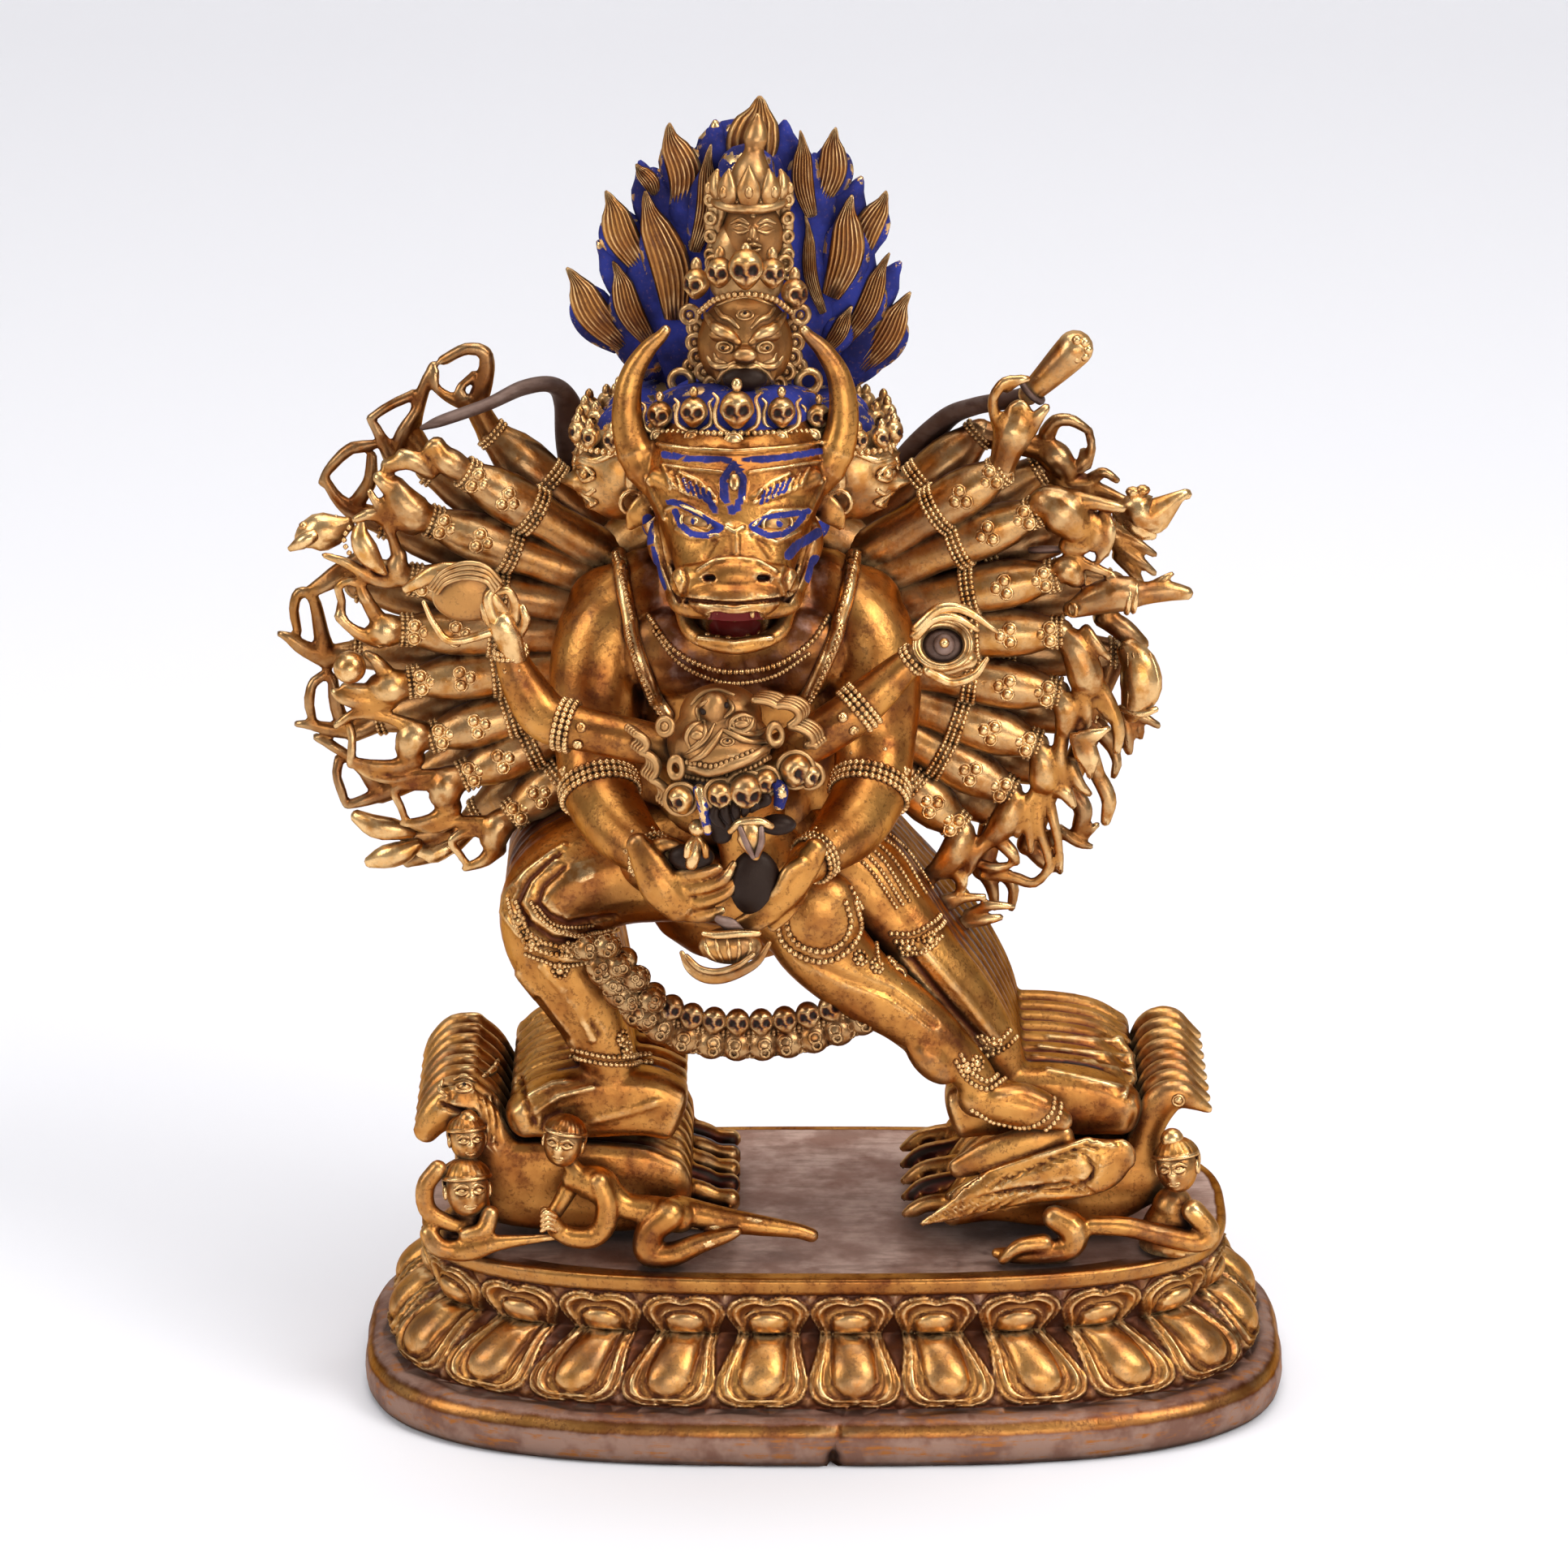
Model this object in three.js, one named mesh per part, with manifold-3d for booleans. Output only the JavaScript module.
// A gilt copper statue of a buffalo-headed deity and his consort on an oval lotus base: nine heads,
// thirty-four arms and sixteen legs, with beasts, birds and fallen gods under the feet. Lengths are in
// millimetres. +X is the viewer's right, -Y is the front and +Z is up. The origin is the middle of the flat
// underside.
import * as THREE from 'three';
import { mergeVertices } from 'three/addons/utils/BufferGeometryUtils.js';
import Module from 'manifold-3d';

const wasm = await Module();
wasm.setup();

// Driving sizes
const BASE_HALF_WIDTH = 67;
const BASE_HALF_DEPTH = 37;
const BASE_SQUARENESS = 3.0; // exponent of the oval plan: 2 is an ellipse, more is squarer
const PETALS = 22;
const PLATFORM_TOP = 25.6;
const TRAMPLED_TOP = 41.0; // backs of the beasts and birds, under the feet
const FIGURE_X = -12.7; // the deity stands left of the middle of the base
const HEAD_X = -12.5;
const HAIR_X = -11; // the figure leans a little to the viewer's right as it rises
const HAIR_SEAT = 153; // where the two upper heads stand, just over the buffalo head
const LEGS_A_SIDE = 8;
const LEG_PITCH = 4; // front to back, from one leg to the next
const FRONT_LEG_Y = -12;
const ARMS_A_ROW = 8;
const FAN_OFFSET = 23; // from the figure's middle to the centre of each fan of arms
const FAN_HEIGHT = 110;
const GAP = 0.3; // seam between neighbouring castings

// Colour, roughness and metalness of each finish
const FINISHES = {
  gilt: { color: 0xc08a35, roughness: 0.35, metalness: 1 },
  worn: { color: 0x7d5638, roughness: 0.5, metalness: 0.8 },
  hide: { color: 0x51392f, roughness: 0.6, metalness: 0.6 },
  blue: { color: 0x2b3fa6, roughness: 0.85, metalness: 0 },
};

// Solids

const V = (x, y, z) => new THREE.Vector3(x, y, z);
const turn = (degrees) => (degrees * Math.PI) / 180;
const blend = (a, b, t) => a + (b - a) * t;
const row = (count, make) => Array.from({ length: count }, (_, i) => make(i));
const join = (solids) => solids.reduce((whole, next) => whole.add(next));

// A closed solid from a geometry, its faces turned outwards by the sign of the volume.
function solid(geometry) {
  geometry.deleteAttribute('normal');
  geometry.deleteAttribute('uv');
  const merged = mergeVertices(geometry, 1e-4);
  const positions = merged.attributes.position;
  const triangles = Array.from(merged.index.array);
  const at = (i) => V(0, 0, 0).fromBufferAttribute(positions, i);
  let volume = 0;
  for (let i = 0; i < triangles.length; i += 3) {
    volume += at(triangles[i]).dot(at(triangles[i + 1]).cross(at(triangles[i + 2])));
  }
  if (volume < 0) triangles.reverse();
  return new wasm.Manifold(
    new wasm.Mesh({
      numProp: 3,
      vertProperties: Float32Array.from(positions.array),
      triVerts: Uint32Array.from(triangles),
    }),
  );
}

// The largest separate body of a solid, so that a cut leaves no crumbs.
function largest(whole) {
  return whole.decompose().reduce((best, next) => (next.volume() > best.volume() ? next : best));
}

// Triangles over a flat ring of points, which may be hollowed along its sides.
function lid(ring) {
  const [origin, second] = ring;
  const along = second.clone().sub(origin).normalize();
  const normal = V(0, 0, 0);
  ring.forEach((point, i) => {
    const next = ring[(i + 1) % ring.length];
    normal.add(point.clone().sub(origin).cross(next.clone().sub(origin)));
  });
  const across = normal.normalize().cross(along);
  const flat = ring.map((point) => new THREE.Vector2(point.dot(along), point.dot(across)));
  return THREE.ShapeUtils.triangulateShape(flat, []);
}

// Rings of equal length joined one to the next, with a flat lid over each end.
function loft(rings) {
  const count = rings[0].length;
  const last = (rings.length - 1) * count;
  const triangles = [];
  for (let start = 0; start < last; start += count) {
    for (let i = 0; i < count; i += 1) {
      const a = start + i;
      const b = start + ((i + 1) % count);
      triangles.push(a, b, a + count, b, b + count, a + count);
    }
  }
  for (const [a, b, c] of lid(rings[0])) triangles.push(c, b, a);
  for (const [a, b, c] of lid(rings[rings.length - 1])) triangles.push(last + a, last + b, last + c);
  const geometry = new THREE.BufferGeometry().setFromPoints(rings.flat());
  geometry.setIndex(triangles);
  return solid(geometry);
}

// A limb: oval sections along a row of stations. A station is [x, y, z, half-thickness along side,
// half-thickness across it], and one with a single half-thickness is round. Grow makes the limb thicker and
// longer all round.
function limb(stations, { sides = 6, side = V(0, 1, 0), grow = 0 } = {}) {
  const path = stations.map(([x, y, z]) => V(x, y, z));
  const last = path.length - 1;
  const rings = stations.map(([, , , wide, deep = wide], i) => {
    const along = path[Math.min(i + 1, last)].clone().sub(path[Math.max(i - 1, 0)]).normalize();
    const first = side.clone().addScaledVector(along, -side.dot(along)).normalize();
    const second = along.clone().cross(first);
    const end = i === 0 ? -grow : i === last ? grow : 0;
    const centre = path[i].clone().addScaledVector(along, end);
    return row(sides, (k) => {
      const angle = (2 * Math.PI * (k + 0.5)) / sides;
      const ringPoint = centre.clone().addScaledVector(first, (wide + grow) * Math.cos(angle));
      return ringPoint.addScaledVector(second, (deep + grow) * Math.sin(angle));
    });
  });
  return loft(rings);
}

const SIDEWAYS = V(1, 0, 0); // for limbs that rise or point forwards
const station = (point, ...halves) => [point.x, point.y, point.z, ...halves];

// An egg: a ball stretched to three half-sizes.
function egg(centre, halves, { detail = [7, 5], grow = 0 } = {}) {
  const geometry = new THREE.SphereGeometry(1, ...detail);
  geometry.rotateX(Math.PI / 2);
  geometry.scale(...halves.map((half) => half + grow));
  geometry.translate(...centre);
  return solid(geometry);
}

// A small knob of twenty faces.
function knob(centre, radius, grow) {
  const geometry = new THREE.IcosahedronGeometry(radius + grow, 0);
  geometry.translate(...centre);
  return solid(geometry);
}

// Lotus base

// Points round an oval plan with half-sizes a and b, evenly spaced by length.
function ovalPlan(a, b, count) {
  const fine = 1440;
  const at = (k) => {
    const c = Math.cos((2 * Math.PI * k) / fine);
    const s = Math.sin((2 * Math.PI * k) / fine);
    const sum = Math.abs(c / a) ** BASE_SQUARENESS + Math.abs(s / b) ** BASE_SQUARENESS;
    return V(c, s, 0).multiplyScalar(sum ** (-1 / BASE_SQUARENESS));
  };
  const lengths = [0];
  for (let k = 1; k <= fine; k += 1) lengths.push(lengths[k - 1] + at(k - 1).distanceTo(at(k)));
  return row(count, (i) => {
    const target = ((i + 0.5) / count) * lengths[fine];
    return at(lengths.findIndex((length) => length > target) - 1);
  });
}

function lotusBase() {
  // From the floor up: height, inset from the plinth's outline, and swell of the petals
  const profile = [
    [0, 0.8, 0],
    [2.4, 0, 0],
    [6.6, 1.0, 0],
    [7.6, 4.8, 0],
    [9.0, 5.6, 2.4],
    [12.6, 7.4, 2.0],
    [16.2, 11.0, 0],
    [18.8, 10.4, 2.0],
    [22.6, 9.2, 1.6],
    [PLATFORM_TOP, 8.6, 0],
  ];
  const pointsAPetal = 3;
  const rings = profile.map(([z, inset, swell]) => {
    const plan = ovalPlan(BASE_HALF_WIDTH - inset, BASE_HALF_DEPTH - inset, PETALS * pointsAPetal);
    return plan.map((point, i) => {
      const out = swell * (i % pointsAPetal === 0 ? -0.6 : 0.4);
      return point.setLength(point.length() + out).setZ(z);
    });
  });
  return loft(rings);
}

// The deity's body

function torso(grow) {
  const x = FIGURE_X;
  return limb(
    [
      [x, 0, 76, 11, 14],
      [x, 0, 84, 12.6, 16.4],
      [x, -2, 93, 12, 15.2],
      [x, -3, 101, 11, 15.4],
      [x, -3, 110, 10.6, 18.4],
      [x, -3, 117, 9.6, 19.4],
      [x, -4, 122, 8, 14],
      [x, -6, 127, 7.6, 9.4],
      [x, -9, 136, 8, 9],
    ],
    { sides: 10, grow },
  );
}

// The front two arms go round the consort. The sign is -1 for the viewer's left.
function frontArm(sign, grow) {
  const x = (offset) => FIGURE_X + sign * offset;
  const arm = [
    [x(13), -4, 119, 6.4],
    [x(17.5), -7, 112, 7],
    [x(19.2), -12, 100, 5.6],
    [x(18.6), -17, 94.5, 5.2],
    [x(14.5), -26, 91, 4.6],
    [x(10), -32, 90, 3],
  ];
  const hand = [
    [x(10), -32, 90, 2.4, 2.6],
    [x(6.5), -35, 88.6, 2, 4.2],
    [x(2.4), -36.6, 87, 1.6, 3.8],
    [x(-0.6), -36.4, 86.2, 1.2, 2.8],
  ];
  return limb(arm, { grow }).add(limb(hand, { grow }));
}

// Each side's leg in front view. The line runs from hip to ankle as [x, z, half-thickness] and the foot from
// heel to toe as [x, z, half-height].
const RIGHT_LEG = {
  outward: -1,
  line: [
    [-18, 82, 9.6],
    [-30, 80.5, 8.4],
    [-39.6, 75.6, 7.2],
    [-36.4, 66, 5.8],
    [-32, 56.5, 4.2],
    [-30.6, 47, 3.8],
  ],
  foot: [
    [-24.4, 46.2, 4.6],
    [-31, 46.6, 4.8],
    [-39, 46, 4.4],
    [-44, 44.8, 3.4],
  ],
};
const LEFT_LEG = {
  outward: 1,
  line: [
    [-6, 82, 9.6],
    [3.5, 78.5, 7.6],
    [12, 70.4, 5.8],
    [18.7, 63.4, 4.8],
    [24, 54.5, 4],
    [25.4, 47, 3.8],
  ],
  foot: [
    [18.6, 46.2, 4.4],
    [26, 46.6, 4.6],
    [36, 46.2, 4.4],
    [43.6, 45, 3.6],
  ],
};

// One ring round the whole bank of legs. The front leg is round, and the outer side is fluted once for each
// leg behind it. The profile runs from the front back along the outer side, and forwards along the inner side.
function bankRing(centre, along, thick, outward, front, pitch, grow) {
  const across = V(-along.z, 0, along.x).multiplyScalar(outward);
  const back = front + pitch * (LEGS_A_SIDE - 1);
  const profile = [[front - 0.92 * thick, 0.3], [front - 0.66 * thick, 0.76], [front, 1]];
  for (let i = 1; i < LEGS_A_SIDE; i += 1) {
    profile.push([front + (i - 0.5) * pitch, 0.8], [front + i * pitch, 0.96]);
  }
  profile.push([back + 2.4, 0.4], [back + 1.6, -0.8], [front, -1]);
  profile.push([front - 0.66 * thick, -0.76], [front - 0.92 * thick, -0.3]);
  return profile.map(([y, share]) => {
    const beyond = y < front ? -grow : y > back ? grow : 0;
    const reach = share * thick + Math.sign(share) * grow;
    return centre.clone().setY(y + beyond).addScaledVector(across, reach);
  });
}

function legs({ outward, line }, grow) {
  const points = line.map(([x, z]) => V(x, 0, z));
  const last = points.length - 1;
  return loft(
    line.map(([, , thick], i) => {
      const along = points[Math.min(i + 1, last)].clone().sub(points[Math.max(i - 1, 0)]).normalize();
      const end = i === 0 ? -grow : i === last ? grow : 0;
      const spread = Math.min(1, i / 2);
      const front = blend(FRONT_LEG_Y + 5, FRONT_LEG_Y, spread);
      const pitch = LEG_PITCH * blend(0.6, 1, spread);
      const centre = points[i].clone().addScaledVector(along, end);
      return bankRing(centre, along, thick, outward, front, pitch, grow);
    }),
  );
}

function feet({ outward, foot }, grow) {
  const back = FRONT_LEG_Y + LEG_PITCH * (LEGS_A_SIDE - 0.5) + grow;
  return loft(
    foot.map(([x, z, high], i) => {
      const end = i === 0 ? -grow : i === foot.length - 1 ? grow : 0;
      const front = FRONT_LEG_Y - 0.9 * high - grow;
      const section = [[back, -1], [back, 0.7], [back - 2, 1], [FRONT_LEG_Y, 1], [front, 0.4], [front, -1]];
      return section.map(([y, share]) => V(x + end * outward, y, z + share * (high + grow)));
    }),
  );
}

function bothLegBanks(grow) {
  const banks = [RIGHT_LEG, LEFT_LEG].map((leg) => legs(leg, grow).add(feet(leg, grow)));
  return join(banks).trimByPlane([0, 0, 1], TRAMPLED_TOP + GAP - grow);
}

// The buffalo head looks forwards and a little down.
function buffaloHead(grow) {
  const x = HEAD_X;
  const skull = [
    [x, -4, 147, 11.5, 8],
    [x, -12, 144, 13.6, 10.4],
    [x, -20, 139.5, 12.2, 9.8],
    [x, -27, 133.5, 8.6, 6.6],
    [x, -32, 130.6, 8.2, 5],
    [x, -34.4, 129.6, 6.6, 3.6],
  ];
  const crown = [
    [x, -12, 146, 12.2, 9.6],
    [x, -12, HAIR_SEAT - GAP, 10.8, 8.8],
  ];
  const jaw = [
    [x, -14, 131, 8.4, 5],
    [x, -23, 125.4, 7.6, 3.2],
    [x, -30, 124.2, 5.4, 2.2],
  ];
  const skulls = row(5, (i) => {
    const k = i - 2;
    return knob([x + 4.6 * k, -20.4 + 1.1 * k * k, 151.6 - 0.3 * k * k], 2.5, grow);
  });
  return join([
    limb(skull, { sides: 10, side: SIDEWAYS, grow }),
    limb(crown, { sides: 10, side: SIDEWAYS, grow }),
    limb(jaw, { sides: 8, side: SIDEWAYS, grow }),
    ...[-1, 1].flatMap((sign) => [horn(sign, grow), ear(sign, grow), sideHeads(sign, grow)]),
    ...skulls,
  ]);
}

function horn(sign, grow) {
  const x = (offset) => HEAD_X + sign * offset;
  const stations = [
    [x(9), -14, 141.5, 4],
    [x(13), -14, 143.5, 3.6],
    [x(15.6), -13, 149, 3],
    [x(14.4), -12.4, 155.4, 2.2],
    [x(9.6), -13, 161.4, 0.5],
  ];
  return limb(stations, { grow });
}

function ear(sign, grow) {
  const x = (offset) => HEAD_X + sign * offset;
  const stations = [
    [x(10), -11, 139, 1.6, 2.4],
    [x(15.4), -12.6, 138, 1.4, 3],
    [x(19), -12.4, 135.8, 0.6, 0.8],
  ];
  return limb(stations, { sides: 5, grow });
}

// Three smaller heads behind each ear, turned further back one after the other. Each goes up from its chin to
// its flared diadem, and is pushed out at the height of its nose.
function sideHeads(sign, grow) {
  const profile = [[130.6, 6.4, 2.6], [135.4, 9.4, 4.8], [142, 6.8, 4.8], [148, 6.6, 5.8]];
  const heads = row(3, (k) => {
    const heading = turn(38 * k);
    const out = V(sign * Math.cos(heading), Math.sin(heading), 0);
    const neck = V(HEAD_X + sign * 7, -3, 0);
    const at = (z, reach) => neck.clone().addScaledVector(out, reach).setZ(z);
    const stations = profile.map(([z, reach, half]) => station(at(z, reach), half));
    return limb(stations, { sides: k === 0 ? 6 : 5, side: SIDEWAYS, grow });
  });
  return join(heads);
}

function deity(grow) {
  return join([torso(grow), frontArm(-1, grow), frontArm(1, grow), bothLegBanks(grow), buffaloHead(grow)]);
}

// Fans of arms

// One fan: a front and a back row of eight arms that leave the shoulder one above the other.
function armFan(sign, grow) {
  const x = (offset) => FIGURE_X + sign * offset;
  const shoulder = [
    [x(15), 7, 90, 5, 5],
    [x(19), 7, 98, 6.4, 9],
    [x(20), 7, 112, 6.4, 10],
    [x(17), 7, 122, 6, 8],
    [x(13), 7, 127, 4, 4],
  ];
  const arms = [true, false].flatMap((front) => row(ARMS_A_ROW, (i) => fanArm(sign, front, i, grow)));
  return join([limb(shoulder, { grow }), ...arms]);
}

// An arm with its hand. Its angle is measured from straight up, out to the side. The fingers of the lower
// hands on the viewer's right hang down.
function fanArm(sign, front, i, grow) {
  const angle = turn(front ? 30.6 + 18.7 * i : 19.8 + 17.2 * i);
  const reach = front ? 23.2 + 0.32 * (i - 4) ** 2 : 33.4;
  const thick = front ? 2.9 : 2.6;
  const out = V(sign * Math.sin(angle), 0, Math.cos(angle));
  const forward = sign > 0 && i >= 3 ? out.clone().lerp(V(0, 0, -1), 0.75).normalize() : out;
  const thumbSide = V(0, 1, 0).cross(forward).normalize();
  const root = V(FIGURE_X + sign * 16, front ? 5.4 : 8.6, blend(121, 98, i / (ARMS_A_ROW - 1)));
  const centre = V(FIGURE_X + sign * FAN_OFFSET, 0, FAN_HEIGHT);
  const wrist = centre.addScaledVector(out, reach).setY(front ? 1.5 : 10.5);
  const swell = root.clone().lerp(wrist, 0.66);
  const palm = wrist.clone().addScaledVector(forward, 4.4).addScaledVector(thumbSide, 0.8);
  const tips = wrist.clone().addScaledVector(forward, 10).setY(wrist.y - 1.6);
  const stations = [station(root, thick * 0.8)];
  if (front) stations.push(station(swell, thick));
  stations.push(station(wrist, thick * 0.66), station(palm, 1.5, 3.6), station(tips, 0.8, 2));
  return limb(stations, { sides: front ? 5 : 4, grow });
}

// The consort

function consort(grow) {
  const body = [
    [-3, -17, 77, 5.5, 7.5],
    [-7, -19, 83, 5.2, 7.2],
    [-10.5, -20, 91, 3.6, 5.2],
    [-12, -24, 99.5, 4.2, 7],
    [-13.4, -29.5, 105, 2.6, 3],
  ];
  const chignon = [
    [-13.6, -38, 104, 4.6],
    [-13.4, -39.6, 99, 3.6],
    [-13.2, -38.4, 94, 1.6],
  ];
  const raisedArm = [
    [-14, -25, 101.4, 2.8],
    [-19.6, -28, 104.6, 3],
    [-26, -28.6, 106.6, 3],
    [-34, -28, 108, 3],
    [-40, -26.4, 109, 3],
    [-42, -26, 113, 2.9],
    [-43.4, -26, 118, 2],
    [-44.4, -26.4, 124, 1.6, 2.6],
    [-45.6, -27, 129, 0.7, 1.4],
  ];
  const cupArm = [
    [-12, -25, 101.4, 2.6],
    [-6, -28, 104.6, 3.2],
    [2, -28.4, 109.6, 3.2],
    [7, -27, 113.4, 3],
    [11, -26, 117.4, 2.2],
    [15, -27, 120.4, 2.4, 3.4],
  ];
  const straightLeg = [
    [-4, -17, 79, 6.4],
    [-1, -19, 73.4, 6.2],
    [5, -20, 67.2, 5],
    [11.1, -20, 63, 4.2],
    [15.7, -20, 58.6, 3.6],
    [20.3, -20, 54, 3],
    [24.6, -20.4, 50.8, 3],
    [33.4, -21, 49.6, 2.2],
  ];
  const wrappedLeg = [
    [-8, -17, 80, 5.6],
    [-17, -17, 81, 5],
    [-25, -14.6, 84, 4.4],
    [-31, -6, 83, 3.2],
  ];
  return join([
    limb(body, { sides: 8, grow }),
    egg([-14.2, -34, 108.8], [6.9, 6.2, 6.4], { detail: [8, 5], grow }),
    limb(chignon, { sides: 5, grow }),
    limb(raisedArm, { sides: 5, grow }),
    limb(cupArm, { sides: 5, grow }),
    egg([15.6, -28.4, 120.4], [4.4, 2.8, 3.6], { detail: [7, 4], grow }),
    limb(straightLeg, { sides: 5, grow }),
    limb(wrappedLeg, { grow }),
  ]);
}

// The garland of severed heads hangs in a low arc between the thighs: a strap that swells at each head.
function garland() {
  const heads = 13;
  const arc = new THREE.CatmullRomCurve3([
    V(-29, -20, 77),
    V(-26.4, -21, 71),
    V(-21.6, -22, 65.4),
    V(-13.4, -22.4, 61.2),
    V(-5, -22, 60.8),
    V(4, -21, 63.6),
    V(10, -19, 68),
  ]);
  const stations = arc
    .getSpacedPoints(2 * heads)
    .map((point, i) => (i % 2 === 0 ? station(point, 1.6, 2.4) : station(point, 2.9, 4)));
  return limb(stations, { sides: 5 });
}

// The two upper heads and the hair

// A leaf-shaped sheet of hair whose edge breaks into flame tips, drawn in front view and given a depth.
function flameSheet(front, deep, scale) {
  const heart = 164;
  const side = [[15, 148], [19, 153.6], [24, 163], [20.4, 176], [12, 186], [1.5, 190.2]];
  const edge = new THREE.SplineCurve(side.map(([x, z]) => new THREE.Vector2(x, z))).getPoints(10);
  const flames = edge.map((point, i) => {
    const share = scale * (i % 2 === 0 ? 1 : 0.86);
    return [point.x * share, heart + (point.y - heart) * share];
  });
  const outline = [
    ...flames.map(([x, z]) => new THREE.Vector2(HAIR_X + x, z)),
    ...flames.reverse().map(([x, z]) => new THREE.Vector2(HAIR_X - x, z)),
  ];
  const geometry = new THREE.ExtrudeGeometry(new THREE.Shape(outline), { depth: deep, bevelEnabled: false });
  geometry.rotateX(Math.PI / 2).translate(0, front + deep, 0);
  return solid(geometry);
}

function hairAndHeads() {
  const x = HAIR_X;
  const hair = [
    [x, 12, 131, 2.5, 6],
    [x, 11, 143, 4, 11],
    [x, 7, 154, 7, 14.5],
    [x, 5, 163, 7.4, 15],
    [x, 5, 172, 5, 9],
  ];
  const wrathfulNeck = [
    [x, -9, HAIR_SEAT, 7.4, 7.6],
    [x, -9, 156.6, 6.4, 7.2],
  ];
  const wrathfulCrown = [
    [x, -9, 164, 7.2, 8.2],
    [x, -9, 168.2, 7.4, 8.6],
  ];
  const wrathfulNose = [
    [x, -13, 161.4, 1.8],
    [x, -17.4, 158.4, 1.4],
  ];
  const gentleHead = [
    [x, -3.6, 166, 4.2],
    [x, -3.8, 169, 5.2, 5.4],
    [x, -4.2, 173.6, 5.6, 6.2],
    [x, -3.6, 178, 5, 5.8],
    [x, -3.4, 181.4, 5.2, 6.8],
    [x + 0.6, -3, 183, 2.6, 2.8],
    [x + 1.2, -2, 188, 0.6],
  ];
  return join([
    limb(hair, { sides: 10 }),
    flameSheet(1.6, 4.4, 0.84),
    flameSheet(5.8, 4.6, 1),
    egg([x, -9, 160.4], [8.2, 7.8, 8.4]),
    limb(wrathfulNeck, { sides: 8 }),
    limb(wrathfulCrown, { sides: 8 }),
    limb(wrathfulNose, { sides: 4 }),
    limb(gentleHead),
  ]);
}

// The elephant hide covers the back and comes forward in two straps to the topmost hands.
function elephantHide() {
  const rightStrap = [
    [-30, 18, 112, 1.2, 3.4],
    [-33.7, 16.4, 124.8, 1.1, 3],
    [-36.1, 15, 139.6, 1.1, 2.2],
    [-37.6, 12.4, 145.4, 1.2, 1.8],
    [-41.9, 9, 146.4, 1.5],
    [-47.5, 5, 145, 1.3],
    [-53.7, 2.6, 143.4, 1.2],
  ];
  const leftStrap = [
    [6, 18, 112, 1.2, 3],
    [8.6, 16.4, 124.8, 1.2, 2.6],
    [12.6, 15, 134, 1.2, 2.2],
    [17.4, 12, 141.4, 1.6],
    [21, 8, 143.8, 1.6],
    [26, 4, 145.8, 1.6],
    [29, 3, 148, 1.8],
    [34.3, 1.6, 153, 2, 2.8],
  ];
  const sheetRings = row(4, (k) => {
    const face = (offset) =>
      row(5, (i) => {
        const t = offset * (1 - i / 2);
        const y = 19.4 + 1.9 * k - 2.4 * t * t + 0.8 * offset;
        return V(FIGURE_X + 0.6 + (20 - 1.6 * k) * t, y, 116 - 12 * k);
      });
    return [...face(-1), ...face(1)];
  });
  return join([limb(rightStrap, { sides: 5 }), limb(leftStrap, { sides: 5 }), loft(sheetRings)]);
}

// What the feet trample

// A row of eight bodies lying side by side: one loft from [x, underside, back] rows, its top fluted for each
// body.
function bodyBank(rows) {
  const front = FRONT_LEG_Y - LEG_PITCH;
  const back = front + LEGS_A_SIDE * LEG_PITCH;
  return loft(
    rows.map(([x, low, high]) => {
      const flank = blend(low, high, 0.6);
      const valley = blend(low, high, 0.84);
      const ring = [V(x, front, low), V(x, front, flank), V(x, front + 0.5 * LEG_PITCH, high)];
      for (let i = 1; i < LEGS_A_SIDE; i += 1) {
        ring.push(V(x, front + i * LEG_PITCH, valley), V(x, front + (i + 0.5) * LEG_PITCH, high));
      }
      return [...ring, V(x, back, flank), V(x, back, low)];
    }),
  );
}

// One neck and head for each body of a row, from [x, z, half-thickness, half-height] stations in front view.
const headRow = (stations) =>
  row(LEGS_A_SIDE, (i) => {
    const y = FRONT_LEG_Y + (i - 0.5) * LEG_PITCH;
    return limb(stations.map(([x, z, ...halves]) => [x, y, z, ...halves]), { sides: 4 });
  });

const seatOnPlatform = (whole) => largest(whole.trimByPlane([0, 0, 1], PLATFORM_TOP + GAP));
const SMALL = { detail: [6, 4] };

function beasts() {
  const bodies = bodyBank([
    [-23.4, 27, 38.6],
    [-30, 26.4, TRAMPLED_TOP],
    [-45.6, 26.4, TRAMPLED_TOP],
    [-50.4, 29, 38],
  ]);
  const heads = headRow([
    [-45, 35, 2.3, 4.6],
    [-50.6, 42, 2.3, 3.2],
    [-52.4, 47.4, 2.4, 3],
    [-57, 44.8, 1.5, 1.4],
  ]);
  const hoof = (y) => limb([[-24, y, 30.4, 1.8, 2], [-14.6, y, 28, 1.5, 1.6]], { sides: 5 });
  const arm = [
    [-50, -20, 29.6, 1.9],
    [-53, -23, 28.4, 1.9],
    [-44, -22, 28, 1.5],
    [-38.6, -21.2, 27.4, 1],
  ];
  const kneelingGods = [
    limb([[-52, -18, 25, 4.6], [-51, -18.2, 31, 4.4], [-50.4, -19, 40, 2.6]]),
    egg([-50.4, -20.2, 35.4], [3.9, 3.6, 4.2], SMALL),
    egg([-50.4, -19.4, 42], [3.3, 3.3, 3.9], SMALL),
    limb(arm, { sides: 5 }),
  ];
  return seatOnPlatform(join([bodies, ...heads, ...[-11, 0, 11].map(hoof), ...kneelingGods]));
}

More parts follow.
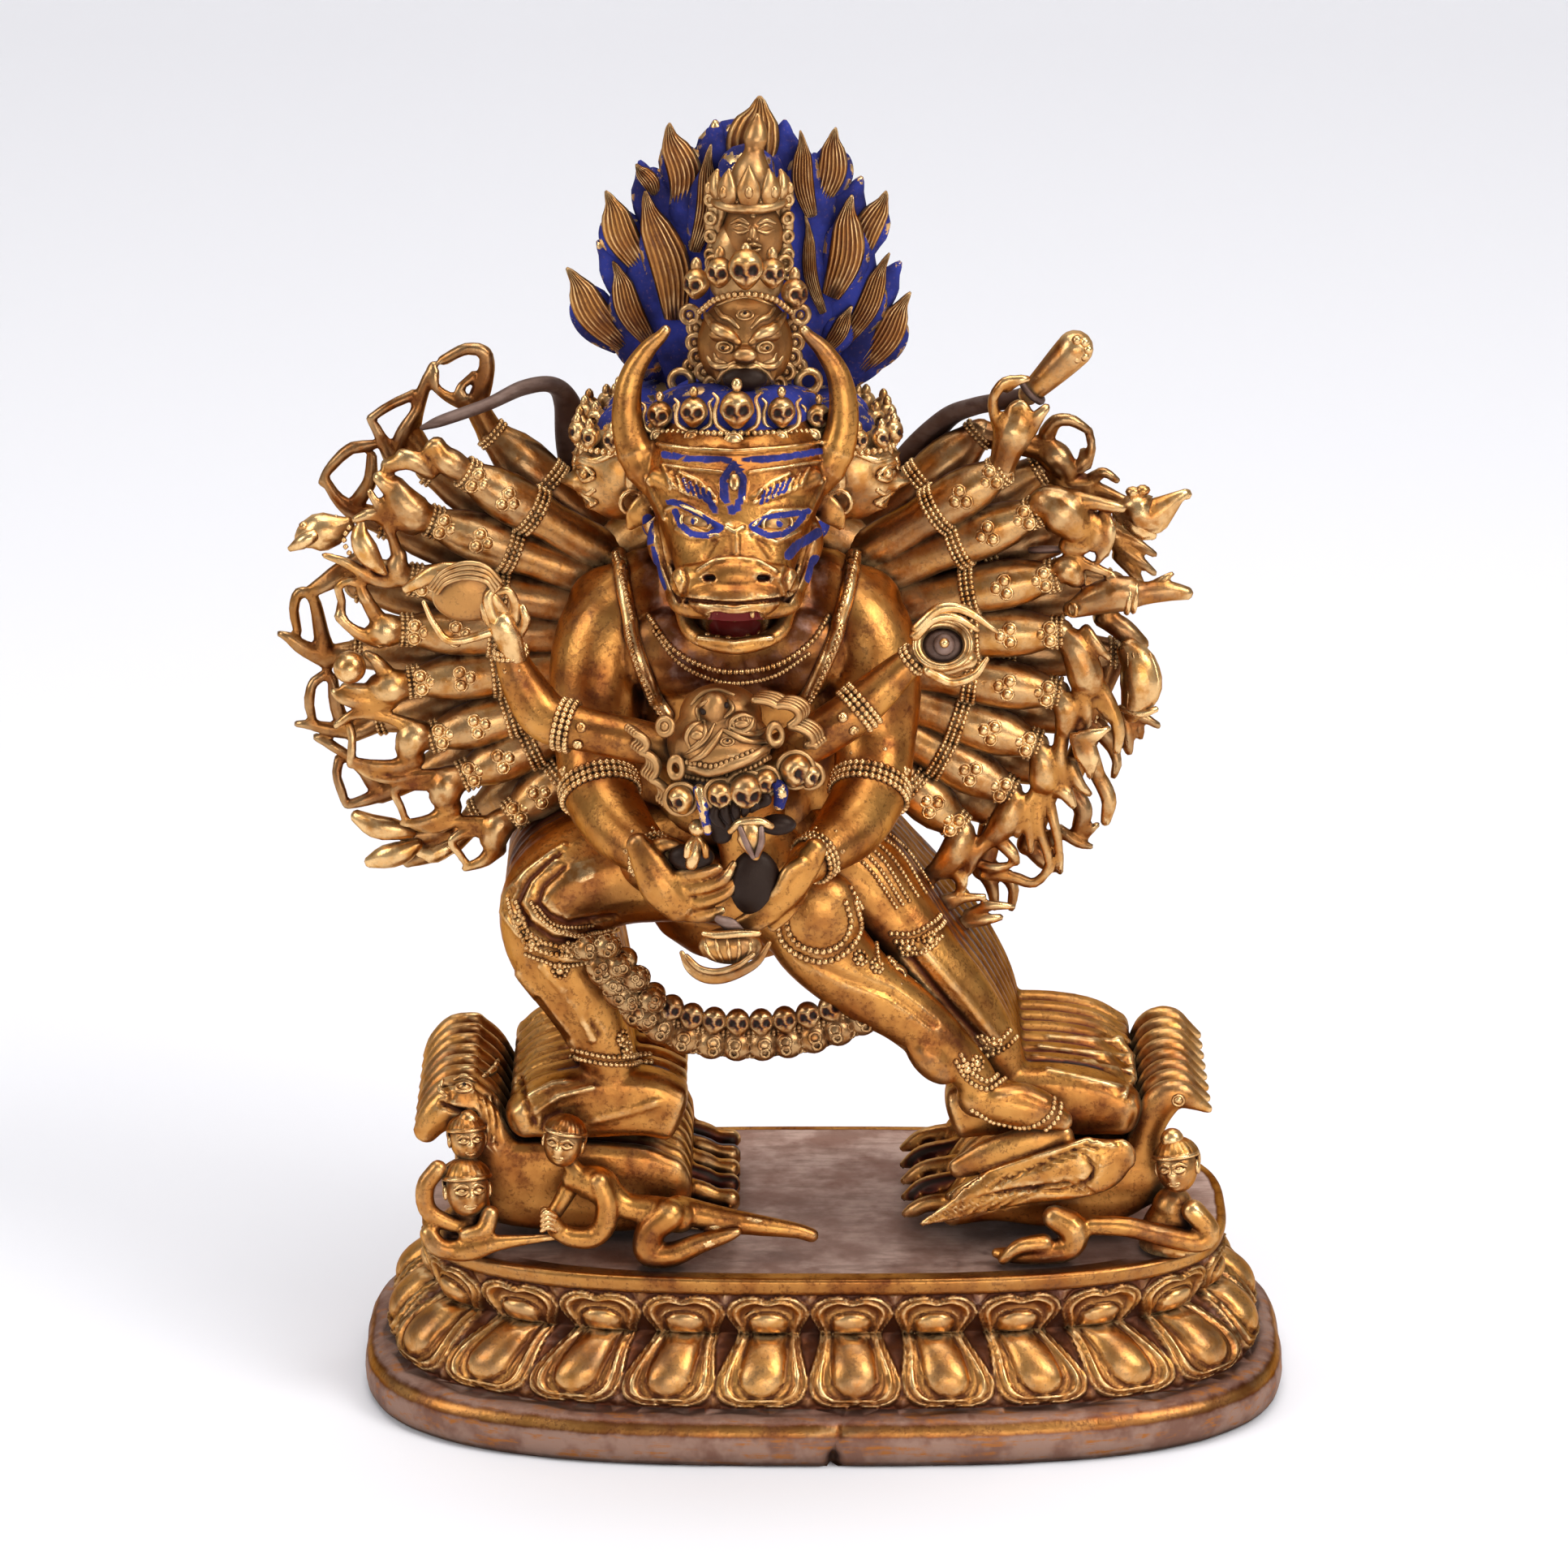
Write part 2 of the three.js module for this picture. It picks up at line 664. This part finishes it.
function birds() {
  const bodies = bodyBank([
    [17.4, 26.8, 30],
    [24, 26.4, 36],
    [31, 26.4, TRAMPLED_TOP],
    [43.6, 26.4, TRAMPLED_TOP],
    [48, 30, 38],
  ]);
  const heads = headRow([
    [43, 35, 2.3, 4.4],
    [47.6, 42, 2, 2.8],
    [49.6, 48, 2.4, 2.8],
    [55.4, 48.4, 0.7],
  ]);
  const wing = [
    [13.8, -19.4, 28.6, 1, 1.5],
    [24, -19.4, 31.4, 2.2, 3.4],
    [34, -19, 34.6, 2.6, 4.8],
    [42, -17, 35.4, 2, 3.4],
  ];
  const arm = [
    [52, -20, 30, 2.2],
    [46, -21.6, 28.6, 2],
    [37, -22, 29.6, 1.7],
    [33.4, -22.8, 28, 2.1],
    [26.4, -23, 27.4, 1.1],
  ];
  const fallenGod = [
    limb([[50, -17, 25, 5], [49.6, -17, 33, 3.8]]),
    egg([50.4, -18.6, 36], [3.5, 3.4, 4.4], SMALL),
    limb(arm, { sides: 5 }),
  ];
  return seatOnPlatform(join([bodies, ...heads, limb(wing), ...fallenGod]));
}

function proneMan() {
  const trunk = [
    [-35.4, -20, 36.4, 2.6, 3],
    [-31.6, -20.4, 33.6, 2.6, 3.2],
    [-27, -21, 31, 2.2, 2.6],
    [-22.6, -21.4, 30.6, 2.8, 3.2],
  ];
  const arm = [
    [-34, -21.6, 36, 1.8],
    [-30.4, -23.4, 29, 1.7],
    [-33, -25.2, 27.8, 1.6],
    [-38.4, -25, 29.6, 1.8],
  ];
  const bentLeg = [
    [-22.6, -21.8, 31, 3],
    [-21.4, -25.4, 27.8, 2.8],
    [-17.6, -24.6, 28.6, 2.3],
    [-13, -23.6, 28.4, 1.4],
  ];
  const straightLeg = [
    [-22, -20.6, 31, 2.8],
    [-12, -20.4, 29.6, 2.2],
    [-3, -20.4, 28.6, 1.5],
    [1.4, -20.8, 28.2, 0.8],
  ];
  const limbs = [trunk, arm, bentLeg, straightLeg].map((stations) => limb(stations, { sides: 5 }));
  return seatOnPlatform(join([egg([-37, -20.4, 40.6], [3.4, 3.2, 4], SMALL), ...limbs]));
}

// Assembly

function piece(name, whole, finish) {
  const { numVert, numProp, vertProperties, triVerts } = whole.getMesh();
  const positions = row(3 * numVert, (i) => vertProperties[numProp * Math.floor(i / 3) + (i % 3)]);
  const geometry = new THREE.BufferGeometry();
  geometry.setAttribute('position', new THREE.Float32BufferAttribute(positions, 3));
  geometry.setIndex(Array.from(triVerts));
  geometry.computeVertexNormals();
  const made = new THREE.Mesh(geometry, new THREE.MeshStandardMaterial(FINISHES[finish]));
  made.name = name;
  return made;
}

// A casting is cut back by the seam around each neighbour that it meets.
const cutBack = (whole, ...seams) => largest(seams.reduce((rest, seam) => rest.subtract(seam), whole));
const bodySeam = deity(GAP);
const consortSeam = consort(GAP);
const [rightFanSeam, leftFanSeam] = [-1, 1].map((sign) => armFan(sign, GAP));

const statue = new THREE.Group();
statue.name = 'buffalo_headed_deity';
statue.add(piece('lotus_base', lotusBase(), 'worn'));
statue.add(piece('trampled_beasts', beasts(), 'gilt'));
statue.add(piece('trampled_birds', birds(), 'gilt'));
statue.add(piece('prone_man', proneMan(), 'gilt'));
statue.add(piece('deity_body', largest(deity(0)), 'gilt'));
statue.add(piece('right_arm_fan', cutBack(armFan(-1, 0), bodySeam), 'gilt'));
statue.add(piece('left_arm_fan', cutBack(armFan(1, 0), bodySeam), 'gilt'));
statue.add(piece('consort', cutBack(consort(0), bodySeam), 'gilt'));
statue.add(piece('head_garland', cutBack(garland(), bodySeam, consortSeam), 'gilt'));
statue.add(piece('upper_heads_and_hair', cutBack(hairAndHeads(), bodySeam), 'blue'));
statue.add(piece('elephant_hide', cutBack(elephantHide(), bodySeam, rightFanSeam, leftFanSeam), 'hide'));

export default statue;
